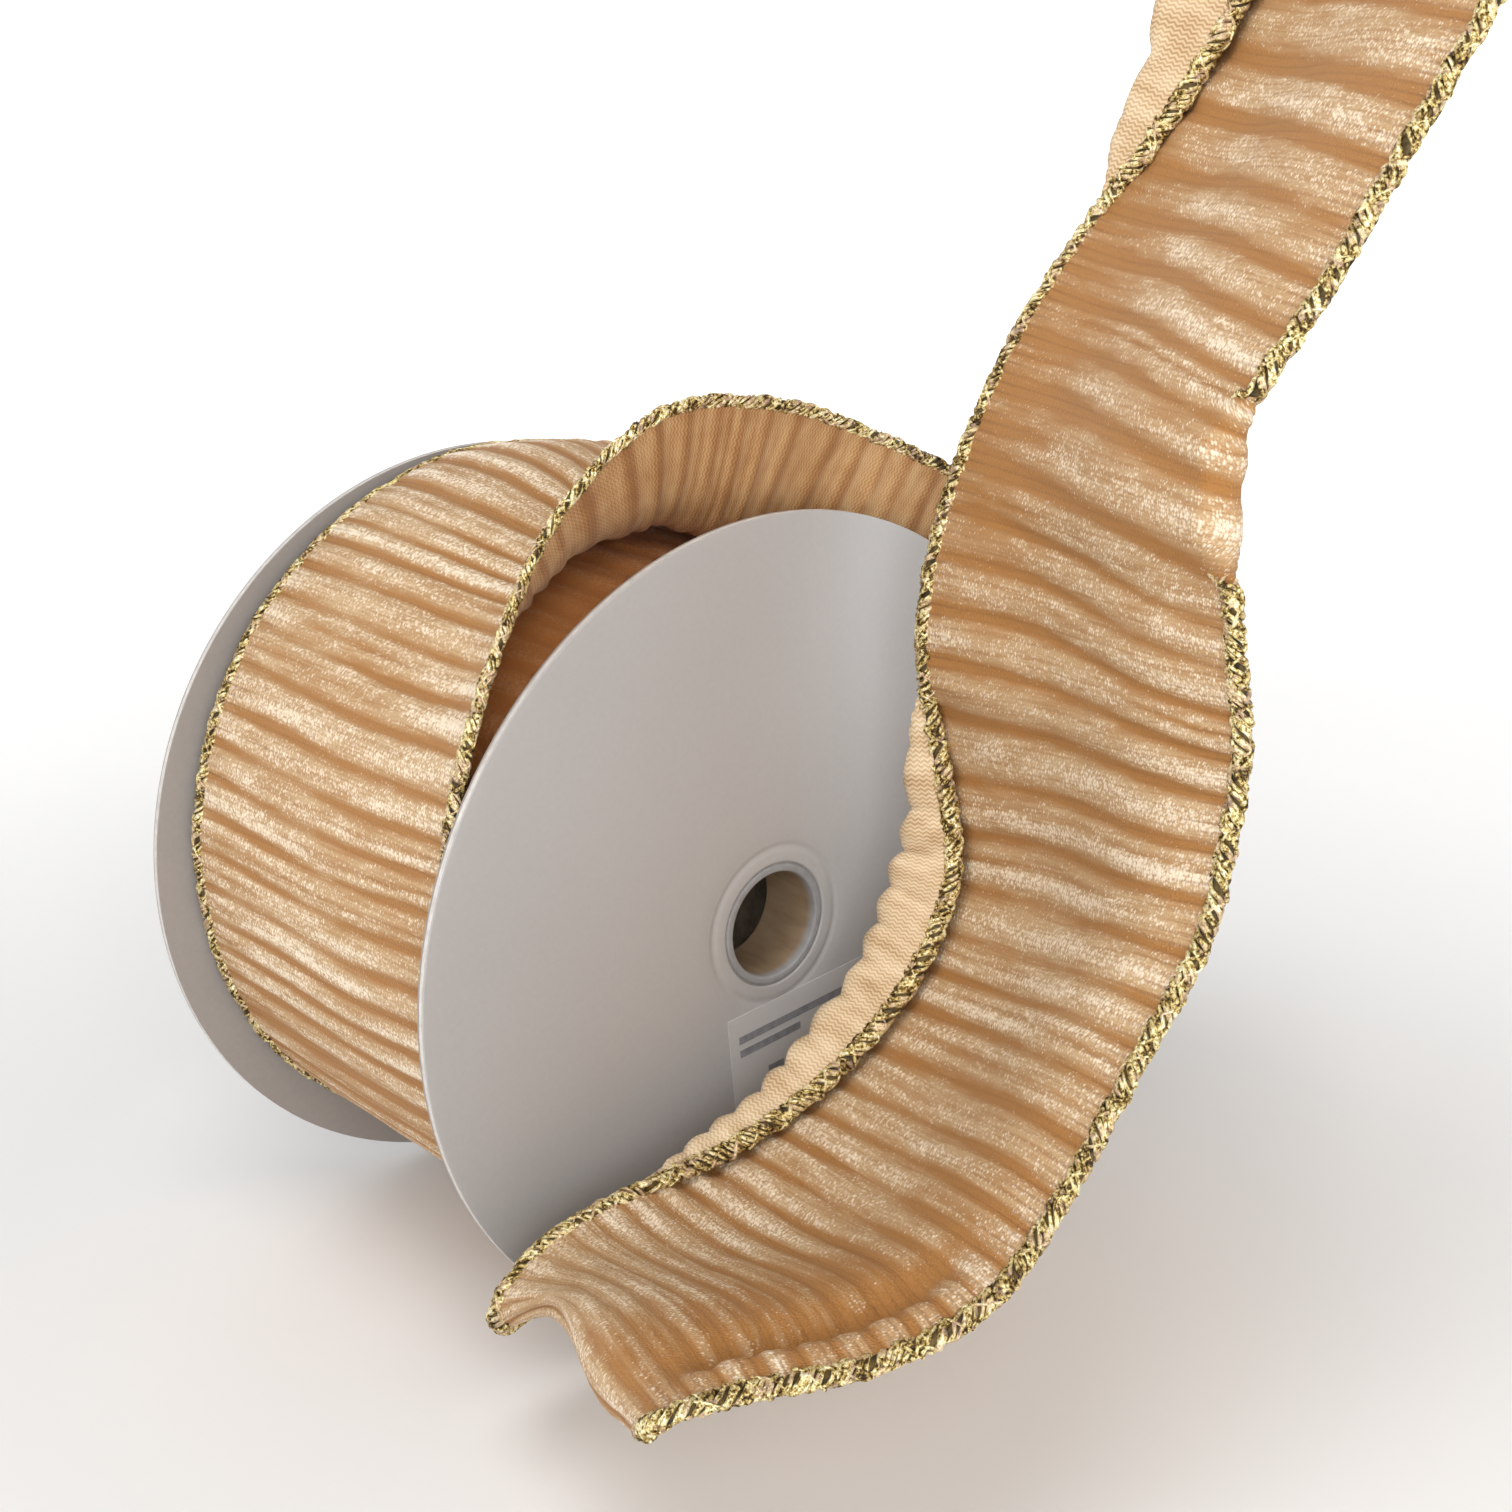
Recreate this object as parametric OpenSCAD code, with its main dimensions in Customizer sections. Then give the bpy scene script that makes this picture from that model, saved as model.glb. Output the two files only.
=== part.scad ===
// Spool of wired velvet ribbon, standing on its rims, with its outer turn loose
// and the free length looped in front of it. Origin: centre of the spindle bore,
// halfway between the outer faces. The spool's axis lies along Y, +Z is up.

/* [Spool] */
// Diameter of the two flanges
flange_d = 110; // [108:0.5:112]
// Distance between the outer faces of the flanges
spool_w = 67; // [66.8:0.1:67.6]
// Thickness of a flange's board, without its paper facings
board_t = 0.8; // [0.6:0.1:0.9]
// Thickness of one paper facing
facing_t = 0.2; // [0.15:0.05:0.2]

/* [Hub] */
// Diameter of the spindle bore through both bushes
bore_d = 14.5; // [12:0.5:15]
// Outer diameter of a bush, and of the hole in the flange around it
bush_d = 17.2; // [16.4:0.2:18]
// Length of a bush, from the flange's outer face inwards
bush_l = 10; // [6:0.5:16]
// Diameter of the collar that holds a bush behind its flange
collar_d = 22; // [20:0.5:26]
// Outer diameter of the drum that the ribbon is wound on
drum_d = 40; // [36:0.5:40]
// Wall of the drum
drum_wall = 1.8; // [1:0.1:2.5]

/* [Ribbon] */
// Ribbon's full width, edge to edge
ribbon_w = 63.5; // [62:0.5:63.5]
// Diameter of the wound ribbon
roll_d = 97; // [90:1:97]
// Width of each wrapped gold edge
trim_w = 3; // [2.5:0.1:3.5]
// Thickness that the pleated ribbon takes up
ribbon_t = 1.2; // [0.8:0.1:1.4]
// Diameter of the wire in each edge
wire_d = 0.5; // [0.4:0.05:0.6]
// Turns of ribbon on the drum
turns = 19; // [14:1:20]

/* [Label] */
// Width of the paper label
label_w = 36; // [25:1:38]
// Height of the paper label
label_h = 26; // [15:1:28]
// How far the label leans, in degrees
label_tilt = 6; // [0:1:12]

/* [Hidden] */
$fn = 96;

board_c = [0.80, 0.77, 0.75];
grey_c = [0.50, 0.47, 0.43];
velvet_c = [0.85, 0.65, 0.44];
back_c = [0.94, 0.86, 0.74];
gold_c = [0.72, 0.62, 0.28];
wire_c = [0.45, 0.45, 0.47];

y_out = spool_w / 2;                      // outer face of a flange
flange_t = board_t + 2 * facing_t;        // board with both facings
y_in = y_out - flange_t;                  // inner face of a flange
glue_t = 0.3;                             // glue line between flange and drum
roll_in = drum_d / 2 + 0.4;               // room for the tape under the first turn
pitch = (roll_d / 2 - roll_in) / turns;   // one turn's build-up

// The free ribbon's route: the rear and the front edge, station by station,
// from where the outer turn leaves the roll, over the top, down the right,
// forward along the floor, round the turn at the left and up to the cut end.
route = [
 [[-49, 30, 10], [-49, -30.5, 13]],
 [[-44, 30, 26], [-47, -30.5, 28]],
 [[-34, 30, 39.5], [-41, -31, 44]],
 [[-20, 30, 49.5], [-32, -31, 58.5]],
 [[-2, 29, 55], [-16, -31, 69]],
 [[18, 22, 53], [3, -31, 68]],
 [[34, 14, 42], [20, -31, 62]],
 [[46, 11, 29], [36, -31, 55]],
 [[55, 11, 16], [51, -29, 50]],
 [[61, 12, 5], [66, -26, 47]],
 [[65, 11, -3], [79, -23, 43]],
 [[66, 9, -10], [88, -22, 36]],
 [[64, 4, -16], [89, -29, 27]],
 [[60, -4, -22], [85, -38, 19]],
 [[55, -14, -29], [74, -50, 13]],
 [[49, -26, -35], [60, -61, 8]],
 [[40, -41, -44], [44, -70, 4]],
 [[27, -44, -51], [27, -77, -1]],
 [[12, -44, -53], [8, -82, -7]],
 [[-3, -41, -53], [-11, -82, -14]],
 [[-18, -38, -50], [-28, -80, -19]],
 [[-32, -37, -43], [-44, -80, -22]],
 [[-43, -38, -38], [-57, -83, -22]],
 [[-51, -42, -35.5], [-66, -88, -19]],
 [[-53, -44, -30], [-67, -92, -15]],
 [[-45, -44, -25], [-59, -95, -14]],
 [[-33, -46, -22], [-45, -99, -15]],
 [[-19, -49, -19], [-33, -103, -11]],
 [[-5, -51, -13], [-23, -104, -2]],
 [[6, -53, -3], [-13, -104, 9]],
 [[13, -53, 9], [-4, -105, 21]],
 [[13, -51, 22], [1, -104, 32]],
 [[12, -48, 36], [2, -104, 42]],
 [[13, -48, 49], [1, -103, 52]],
 [[17, -49, 62], [0, -103, 63]],
 [[23, -52, 77], [0, -104, 77]],
 [[31, -56, 90], [7, -107, 89]],
 [[39, -61, 103], [13, -110, 101]],
 [[47, -65, 117], [19, -114, 114]],
 [[55, -69, 131], [26, -118, 128]]
];
last = len(route) - 1;
per = 3;                                  // rings between two stations

// Catmull-Rom point on one edge (e = 0 rear, 1 front) at station t.
function at(i, e) = route[max(0, min(last, i))][e];
function spline(t, e) =
  let (i = min(last - 1, floor(t)), f = t - i,
       a = at(i - 1, e), b = at(i, e), c = at(i + 1, e), d = at(i + 2, e))
  0.5 * (2 * b + (c - a) * f + (2 * a - 5 * b + 4 * c - d) * f * f
         + (3 * b - a - 3 * c + d) * f * f * f);
function unit(v) = v / norm(v);
// Past the roll the strip opens out to its full breadth by this much a side.
function open_out(t) = 1.3 * max(0, min(1, (t - 9) / 4));
function edge(t, e) =
  let (p = spline(t, e), q = spline(t, 1 - e)) p + unit(p - q) * open_out(t);
function mid(t) = (edge(t, 0) + edge(t, 1)) / 2;
function along(t) = unit(mid(min(last, t + 0.2)) - mid(max(0, t - 0.2)));
function across(t) = unit(edge(t, 1) - edge(t, 0));
function face(t) = unit(cross(across(t), along(t)));

// Rings of a flat strip from a to b millimetres inside the edges, t thick.
function strip(t0, t1, a0, e0, a1, e1, th) =
  [for (k = [0 : round((t1 - t0) * per)])
     let (t = t0 + k / per, w = across(t), n = face(t) * th / 2,
          p = edge(t, e0) + w * a0, q = edge(t, e1) + w * a1)
     [p - n, q - n, q + n, p + n]];

// Rings of a round wire, m sides, s millimetres inside edge e.
function thread(t0, t1, s, e, r, m) =
  [for (k = [0 : round((t1 - t0) * per)])
     let (t = t0 + k / per, w = across(t), n = face(t), p = edge(t, e) + w * s)
     [for (j = [0 : m - 1]) p + r * (cos(360 * j / m) * w + sin(360 * j / m) * n)]];

// A closed solid through a list of rings.
module sweep(rings) {
  n = len(rings); m = len(rings[0]);
  polyhedron(points = [for (r = rings) for (p = r) p],
    faces = concat(
      [[for (j = [0 : m - 1]) j]],
      [for (i = [0 : n - 2]) for (j = [0 : m - 1])
        [i * m + j, (i + 1) * m + j, (i + 1) * m + (j + 1) % m]],
      [for (i = [0 : n - 2]) for (j = [0 : m - 1])
        [i * m + j, (i + 1) * m + (j + 1) % m, i * m + (j + 1) % m]],
      [[for (j = [m - 1 : -1 : 0]) (n - 1) * m + j]]),
    convexity = 10);
}

// A disc or ring whose axis is Y, from y0 to y1.
module ring_y(r_out, r_in, y0, y1)
  translate([0, y1, 0]) rotate([90, 0, 0]) difference() {
    cylinder(r = r_out, h = y1 - y0);
    translate([0, 0, -1]) cylinder(r = r_in, h = y1 - y0 + 2);
  }

// A bush with its collar behind the flange.
module hub_bush(y0, y1, c0, c1) color(grey_c)
  difference() {
    union() {
      ring_y(bush_d / 2, bore_d / 2, y0, y1);
      ring_y(collar_d / 2, bush_d / 2 - 0.2, c0, c1);
    }
    translate([0, 50, 0]) rotate([90, 0, 0]) cylinder(d = bore_d, h = 100);
  }

module front_flange_board() color(grey_c) ring_y(flange_d / 2, bush_d / 2, -y_out + facing_t, -y_in - facing_t);
module rear_flange_board() color(grey_c) ring_y(flange_d / 2, bush_d / 2, y_in + facing_t, y_out - facing_t);
module front_outer_facing() color(board_c) ring_y(flange_d / 2, bush_d / 2, -y_out, -y_out + facing_t);
module rear_outer_facing() color(board_c) ring_y(flange_d / 2, bush_d / 2, y_out - facing_t, y_out);
module front_inner_facing() color(board_c) ring_y(flange_d / 2, bush_d / 2, -y_in - facing_t, -y_in);
module rear_inner_facing() color(board_c) ring_y(flange_d / 2, bush_d / 2, y_in, y_in + facing_t);
module front_hub_bush() hub_bush(-y_out, -y_out + bush_l, -y_in, -y_in + 1);
module rear_hub_bush() hub_bush(y_out - bush_l, y_out, y_in - 1, y_in);
module core_drum() color(grey_c) ring_y(drum_d / 2, drum_d / 2 - drum_wall, -y_in + glue_t, y_in - glue_t);
module front_glue_ring() color("wheat") ring_y(drum_d / 2, drum_d / 2 - 3, -y_in, -y_in + glue_t);
module rear_glue_ring() color("wheat") ring_y(drum_d / 2, drum_d / 2 - 3, y_in - glue_t, y_in);

// Tape that holds the ribbon's inner end to the drum.
module start_tape() color("ivory")
  intersection() {
    ring_y(drum_d / 2 + 0.3, drum_d / 2, -25, 25);
    translate([0, 0, 25]) cube([24, 60, 50], center = true);
  }

// Blank paper label on the front flange, below the bore and a little askew.
module label() color("white")
  translate([-8.4, -y_out - 0.12, -11.6]) rotate([0, -label_tilt, 0])
    translate([0, 0, -label_h]) cube([label_w, 0.12, label_h]);

module ribbon_roll() color(velvet_c)
  ring_y(roll_d / 2, roll_in, -ribbon_w / 2 + trim_w, ribbon_w / 2 - trim_w);
module roll_trim_front() color(gold_c)
  ring_y(roll_d / 2, roll_in, -ribbon_w / 2, -ribbon_w / 2 + trim_w);
module roll_trim_rear() color(gold_c)
  ring_y(roll_d / 2, roll_in, ribbon_w / 2 - trim_w, ribbon_w / 2);
module wire_turns(y) color(wire_c)
  for (i = [0 : turns - 1])
    translate([0, y, 0]) rotate([90, 0, 0]) rotate_extrude()
      translate([roll_in + (i + 0.5) * pitch, 0]) circle(d = wire_d, $fn = 24);
module roll_wire_front() wire_turns(-ribbon_w / 2 + trim_w / 2);
module roll_wire_rear() wire_turns(ribbon_w / 2 - trim_w / 2);

turn_end = 12;                            // the loose turn ends at this station
loop_end = 24;                            // the loop in front ends at this one
gap = 0.02;
module cloth(t0, t1) color(velvet_c)
  sweep(strip(t0, t1, trim_w + gap, 0, -trim_w - gap, 1, ribbon_t));
module loose_turn() cloth(0, turn_end);
module front_loop() cloth(turn_end, loop_end);
module free_tail() cloth(loop_end, last);
module free_trim_rear() color(gold_c) sweep(strip(0, last, 0, 0, trim_w, 0, ribbon_t));
module free_trim_front() color(gold_c) sweep(strip(0, last, -trim_w, 1, 0, 1, ribbon_t));
module free_wire_rear() color(wire_c) sweep(thread(0, last, trim_w / 2, 0, wire_d / 2, 6));
module free_wire_front() color(wire_c) sweep(thread(0, last, -trim_w / 2, 1, wire_d / 2, 6));

front_flange_board();
rear_flange_board();
front_outer_facing();
rear_outer_facing();
front_inner_facing();
rear_inner_facing();
front_hub_bush();
rear_hub_bush();
core_drum();
front_glue_ring();
rear_glue_ring();
start_tape();
label();
ribbon_roll();
roll_trim_front();
roll_trim_rear();
roll_wire_front();
roll_wire_rear();
loose_turn();
front_loop();
free_tail();
free_trim_front();
free_trim_rear();
free_wire_front();
free_wire_rear();
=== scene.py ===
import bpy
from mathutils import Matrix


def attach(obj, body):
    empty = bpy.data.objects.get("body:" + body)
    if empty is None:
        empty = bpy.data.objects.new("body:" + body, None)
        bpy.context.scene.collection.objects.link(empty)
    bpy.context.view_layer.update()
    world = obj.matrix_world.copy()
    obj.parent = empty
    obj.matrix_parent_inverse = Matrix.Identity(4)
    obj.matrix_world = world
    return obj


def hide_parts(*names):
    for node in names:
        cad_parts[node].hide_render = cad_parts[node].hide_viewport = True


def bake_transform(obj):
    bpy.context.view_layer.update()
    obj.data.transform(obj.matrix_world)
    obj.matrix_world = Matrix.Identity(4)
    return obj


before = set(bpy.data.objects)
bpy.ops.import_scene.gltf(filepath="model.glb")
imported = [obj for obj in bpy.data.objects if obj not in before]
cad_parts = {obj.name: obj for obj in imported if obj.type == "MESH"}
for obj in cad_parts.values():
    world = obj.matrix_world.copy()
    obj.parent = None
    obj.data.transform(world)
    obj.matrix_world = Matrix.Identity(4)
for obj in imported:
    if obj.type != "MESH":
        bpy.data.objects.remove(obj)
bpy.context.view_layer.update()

import math

import bmesh
import bpy
import numpy as np
from mathutils import Matrix

# ---------------------------------------------------------------- the route
# The free ribbon's two edges, in mm, as in the CAD source: rear, then front.
ROUTE = np.array([
    [[-49, 30, 10], [-49, -30.5, 13]],
    [[-44, 30, 26], [-47, -30.5, 28]],
    [[-34, 30, 39.5], [-41, -31, 44]],
    [[-20, 30, 49.5], [-32, -31, 58.5]],
    [[-2, 29, 55], [-16, -31, 69]],
    [[18, 22, 53], [3, -31, 68]],
    [[34, 14, 42], [20, -31, 62]],
    [[46, 11, 29], [36, -31, 55]],
    [[55, 11, 16], [51, -29, 50]],
    [[61, 12, 5], [66, -26, 47]],
    [[65, 11, -3], [79, -23, 43]],
    [[66, 9, -10], [88, -22, 36]],
    [[64, 4, -16], [89, -29, 27]],
    [[60, -4, -22], [85, -38, 19]],
    [[55, -14, -29], [74, -50, 13]],
    [[49, -26, -35], [60, -61, 8]],
    [[40, -41, -44], [44, -70, 4]],
    [[27, -44, -51], [27, -77, -1]],
    [[12, -44, -53], [8, -82, -7]],
    [[-3, -41, -53], [-11, -82, -14]],
    [[-18, -38, -50], [-28, -80, -19]],
    [[-32, -37, -43], [-44, -80, -22]],
    [[-43, -38, -38], [-57, -83, -22]],
    [[-51, -42, -35.5], [-66, -88, -19]],
    [[-53, -44, -30], [-67, -92, -15]],
    [[-45, -44, -25], [-59, -95, -14]],
    [[-33, -46, -22], [-45, -99, -15]],
    [[-19, -49, -19], [-33, -103, -11]],
    [[-5, -51, -13], [-23, -104, -2]],
    [[6, -53, -3], [-13, -104, 9]],
    [[13, -53, 9], [-4, -105, 21]],
    [[13, -51, 22], [1, -104, 32]],
    [[12, -48, 36], [2, -104, 42]],
    [[13, -48, 49], [1, -103, 52]],
    [[17, -49, 62], [0, -103, 63]],
    [[23, -52, 77], [0, -104, 77]],
    [[31, -56, 90], [7, -107, 89]],
    [[39, -61, 103], [13, -110, 101]],
    [[47, -65, 117], [19, -114, 114]],
    [[55, -69, 131], [26, -118, 128]],
], float)
LAST = len(ROUTE) - 1
WOUND = 31                      # stations of 15 degrees added on the wound roll
RIBBON_W = 63.5
ROLL_R = 48.6
PITCH = 1.48                    # one turn's build-up


def wound_station(k, e):
    """A station k steps of 15 degrees back from the point where the outer turn lifts off."""
    start = ROUTE[0, e]
    r0, a0 = math.hypot(start[0], start[2]), math.degrees(math.atan2(start[2], -start[0]))
    a = math.radians(a0 - 15 * k)
    r = ROLL_R - PITCH * 15 * k / 360 + (r0 - ROLL_R) * math.exp(-k / 1.2)
    return [-r * math.cos(a), start[1] + (0.3 if e == 0 else 0.0), r * math.sin(a)]


STATIONS = np.concatenate([
    np.array([[wound_station(k, 0), wound_station(k, 1)] for k in range(WOUND, 0, -1)]),
    ROUTE,
])


def spline(t, e):
    """Catmull-Rom points on edge e at stations t, in mm."""
    t = np.asarray(t, float) + WOUND
    n = len(STATIONS) - 1
    i = np.clip(np.floor(t), 0, n - 1).astype(int)
    f = (t - i)[:, None]
    a, b, c, d = (STATIONS[np.clip(i + k, 0, n), e] for k in (-1, 0, 1, 2))
    return 0.5 * (2 * b + (c - a) * f + (2 * a - 5 * b + 4 * c - d) * f * f
                  + (3 * b - a - 3 * c + d) * f ** 3)


def unit(v):
    return v / np.maximum(np.linalg.norm(v, axis=-1, keepdims=True), 1e-12)


def smooth(x):
    x = np.clip(x, 0, 1)
    return x * x * (3 - 2 * x)


def table(t, *pairs):
    """A smooth curve through (station, value) pairs."""
    xs, ys = zip(*pairs)
    i = np.clip(np.searchsorted(xs, t, side="right") - 1, 0, len(xs) - 2)
    xs, ys = np.array(xs, float), np.array(ys, float)
    f = smooth((t - xs[i]) / (xs[i + 1] - xs[i]))
    return ys[i] * (1 - f) + ys[i + 1] * f


def bump(x, centre, width):
    return np.exp(-((x - centre) / width) ** 2)


class Noise:
    """Smooth seeded value noise in one or two dimensions."""

    def __init__(self, seed):
        self.v = np.random.default_rng(seed).uniform(-1, 1, (257, 257))

    def at(self, x, y=0.0):
        x, y = np.broadcast_arrays(np.asarray(x, float), np.asarray(y, float))
        ix, iy = np.floor(x).astype(int), np.floor(y).astype(int)
        fx, fy = smooth(x - ix), smooth(y - iy)
        g = lambda a, b: self.v[a % 257, b % 257]
        return ((g(ix, iy) * (1 - fx) + g(ix + 1, iy) * fx) * (1 - fy)
                + (g(ix, iy + 1) * (1 - fx) + g(ix + 1, iy + 1) * fx) * fy)


NA, NB, NC, ND = (Noise(s) for s in (11, 23, 37, 53))

# Arc length along the ribbon at each station, the mean of its two edges.
T_FINE = np.linspace(-WOUND, LAST, (LAST + WOUND) * 60 + 1)
_len = sum(np.linalg.norm(np.diff(spline(T_FINE, e), axis=0), axis=1) for e in (0, 1)) / 2
S_FINE = np.concatenate([[0], np.cumsum(_len)])
S_FINE -= np.interp(0, T_FINE, S_FINE)


def s_of(t):
    return np.interp(t, T_FINE, S_FINE)


def t_of(s):
    return np.interp(s, S_FINE, T_FINE)


# ------------------------------------------------------- the ribbon's surface
EYE = np.array([-181.3, -235.3, 111.9])   # a fixed point in front, which the rolled margins turn towards


def sections(t, cols):
    """Points of the ribbon's middle surface, a row for each station in t, evenly spaced across it."""
    p0, p1 = spline(t, 0), spline(t, 1)
    chord = np.linalg.norm(p1 - p0, axis=1)[:, None]
    w = unit(p1 - p0)
    d = 0.15
    m = lambda x: (spline(x, 0) + spline(x, 1)) / 2
    along = unit(m(np.minimum(t + d, LAST)) - m(np.maximum(t - d, -WOUND)))
    n = unit(np.cross(w, along))
    tt = t[:, None]

    def sides(p):
        """Towards the front, and to the right of that, both square to the ribbon's run."""
        c = unit(EYE - p)
        r = unit(np.cross([0, 0, 1.0], c))
        r = unit(r - along * np.sum(r * along, 1)[:, None])
        c = c - along * np.sum(c * along, 1)[:, None]
        c = unit(c - r * np.sum(c * r, 1)[:, None])
        return c, r

    c0, r0 = sides(p0)
    c1, r1 = sides(p1)
    # how far each margin is rolled over, and how deep the roll is
    k0 = table(tt, (-40, 0), (25.6, 0), (27.0, 4.2), (28.4, 6.6), (29.7, 7.8), (31.0, 4.6), (32.1, 0), (35.9, 0), (37, 5.6), (38, 10.0), (39, 12))
    k1 = table(tt, (-40, 0), (33.4, 0), (34.1, 3.6), (34.6, 3.6), (35.2, 0), (39, 0))
    h0, h1 = np.minimum(5.0, 0.7 * k0), np.minimum(3.6, 0.9 * k1)
    s = np.linspace(0, 1, 34)[None, :, None]
    rear = p0[:, None] - (k0 * 1.0)[..., None] * np.sin(np.pi * s) * r0[:, None] - (h0[..., None] * (1 - np.cos(np.pi * s)) / 2) * c0[:, None]
    q1 = p1 - k1 * r1
    front = q1[:, None] + k1[..., None] * np.sin(np.pi * s) * r1[:, None] - (h1[..., None] * (1 - np.cos(np.pi * s)) / 2) * c1[:, None]
    # the main breadth, from the rear roll to the front one
    s_wave = table(tt, (-40, 0), (0, 0), (3, 0.6), (6, 0.5), (9, 1.0), (13, 2.0), (21, 1.5), (25, 2.2), (28, 1.3), (39, 1.2))
    bow = table(tt, (-40, 0), (0, 0), (9, 0), (12, 3.0), (16, 4.0), (21, 2.0), (24, 0), (39, 0))
    dip = table(tt, (-40, 0), (0.3, 0), (1, 1.0), (2, 6.0), (3, 10.0), (4, 14.5), (5, 17.5), (6, 17.0), (7, 12.5), (8, 7.0), (10, 0), (39, 0))
    v = np.linspace(0, 1, 110)[None, :]
    qm = -s_wave * np.sin(2 * np.pi * v) + bow * np.sin(np.pi * v) - dip * np.sin(np.pi * v ** 2.5)
    # the crease along the front margin just after the turn, and slow swells
    crease = table(tt, (-40, 0), (24.3, 0), (25.2, 2.6), (26.3, 2.2), (27.6, 0), (39, 0))
    qm = qm - crease * bump(v, 0.87, 0.045) + 0.5 * crease * bump(v, 0.94, 0.04)
    ends = smooth(np.minimum(v, 1 - v) / 0.15)
    swell = table(tt, (-40, 0), (0, 0), (3, 0.8), (39, 1.0))
    qm = qm + swell * ends * (1.1 * NA.at(s_of(tt) / 34, v * 2.2) + 0.6 * NB.at(s_of(tt) / 15, v * 3.5))
    a, b = rear[:, -1], front[:, 0]
    main = a[:, None] * (1 - v[..., None]) + b[:, None] * v[..., None] + n[:, None] * qm[..., None]
    x = np.concatenate([rear, main[:, 1:], front[:, 1:]], axis=1)
    # the wave at the turn, where the folded ribbon lifts between its edges
    g = bump(tt, 23.6, 1.5)
    vv = np.concatenate([np.zeros((1, 34)), v[:, 1:], np.ones((1, 33))], axis=1)
    x[..., 2] += g * (4.0 * np.sin(np.pi * vv) ** 1.2 + 1.6 * np.sin(2 * np.pi * vv))
    x[..., 0] += g * 2.5 * np.sin(np.pi * vv)
    # the loose turn lies on the turn below and never goes into it
    rad = np.hypot(x[..., 0], x[..., 2])
    least = 49.9 * smooth(tt / 1.5) * (tt < 16)
    inside = np.abs(x[..., 1]) < 33.6
    near_rim = (np.abs(x[..., 1]) > 31.2) & inside
    least = np.where(near_rim & (tt > 2) & (tt < 16), 56.2, least + 0 * rad)
    soft = np.where(inside, least + 1.2 * np.log1p(np.exp(np.clip((rad - least) / 1.2, -30, 30))), rad)
    grow = np.where(inside & (rad < least + 6) & (least > 0), np.maximum(soft, rad) / np.maximum(rad, 1e-6), 1.0)
    x[..., 0] *= grow
    x[..., 2] *= grow
    # even spacing by length across each row
    step = np.linalg.norm(np.diff(x, axis=1), axis=2)
    run = np.concatenate([np.zeros((len(t), 1)), np.cumsum(step, axis=1)], axis=1)
    out = np.empty((len(t), cols, 3))
    for i in range(len(t)):
        want = np.linspace(0, run[i, -1], cols)
        r = run[i] + np.arange(run.shape[1]) * 1e-9
        for c in range(3):
            out[i, :, c] = np.interp(want, r, x[i, :, c])
    return out


# Pleats lie closer where the ribbon is wound or gathered, and wider on the free tail.
S_PLEAT = np.linspace(S_FINE[0] - 60, S_FINE[-1] + 60, 6000)
GAP = table(t_of(np.clip(S_PLEAT, S_FINE[0], S_FINE[-1])), (-WOUND, 5.2), (0, 5.2), (8, 5.4), (20, 4.6), (24, 4.2), (27, 4.4), (30, 6.3), (LAST, 6.7))
PHASE = np.cumsum(np.gradient(S_PLEAT) / GAP)


def pleats(s, v):
    """Height of the pleats in mm, how deep in a fold each point is, and how near a ridge's bright side."""
    lean = 4.5 * smooth((s - 430.0) / 60)
    high = smooth((s - 545.0) / 60)
    bend = 1.3 * NA.at(s / 60 + 5, v * 1.7) + 0.45 * NB.at(s / 13, v * 3.0 + 3) + lean * (smooth(v) * (1 - high) + 1.6 * v ** 2.2 * high)
    x = s + bend
    gap = np.interp(x, S_PLEAT, GAP)
    u = np.interp(x, S_PLEAT, PHASE) + 0.50 * NC.at(x / 13 + 9, 0.5)
    cell = np.floor(u)
    f = u - cell
    d = np.minimum(f, 1 - f) * gap
    near = np.floor(u + 0.5)
    depth = 0.76 + 0.36 * NA.at(near * 0.731 + 20, 3.5) + 0.40 * NB.at(near * 0.617 + 60, v * 3.6)
    size = gap / 6.3
    fold = np.exp(-(d / (0.42 + 0.56 * size)) ** 2) * np.clip(depth, 0.0, 1.15)
    round_ = 0.32 * size * (1 - np.cos(2 * np.pi * f)) / 2
    # a shallower fold somewhere along most ridges
    c = 0.50 + 0.17 * ND.at(cell * 0.577 + 31, 1.5)
    on = smooth(0.50 + 0.9 * NC.at(cell * 0.839 + 5, v * 2.2 + 4))
    fold2 = np.exp(-((f - c) * gap / 0.60) ** 2) * on
    fine = 0.08 * NC.at(x / 1.05, v * 9 + 2) + 0.05 * ND.at(x / 0.55, v * 23)
    height = round_ - 0.31 * size * fold - 0.14 * size * fold2 + fine
    # painted highlight: the side of each ridge that faces the light, where the pile is drawn paler
    top = 0.44 + 0.10 * NA.at(cell * 0.471 + 11, v * 2.0)
    crest = np.exp(-((f - top) / 0.19) ** 2) * np.clip(0.62 + 0.55 * NB.at(cell * 0.733 + 17, v * 3.4), 0, 1)
    crest = crest + 0.5 * np.exp(-((f - top - 0.33) / 0.09) ** 2) * smooth(0.4 + NC.at(cell * 0.677 + 23, v * 3.0))
    return height, np.clip(0.92 * fold + 0.55 * fold2, 0, 1.2), np.clip(crest, 0, 1), f


def grid_normals(x):
    along = np.gradient(x, axis=0)
    across = np.gradient(x, axis=1)
    return unit(np.cross(across, along))


PAD = 6                          # rows computed past each end, so that pieces meet smoothly


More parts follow.
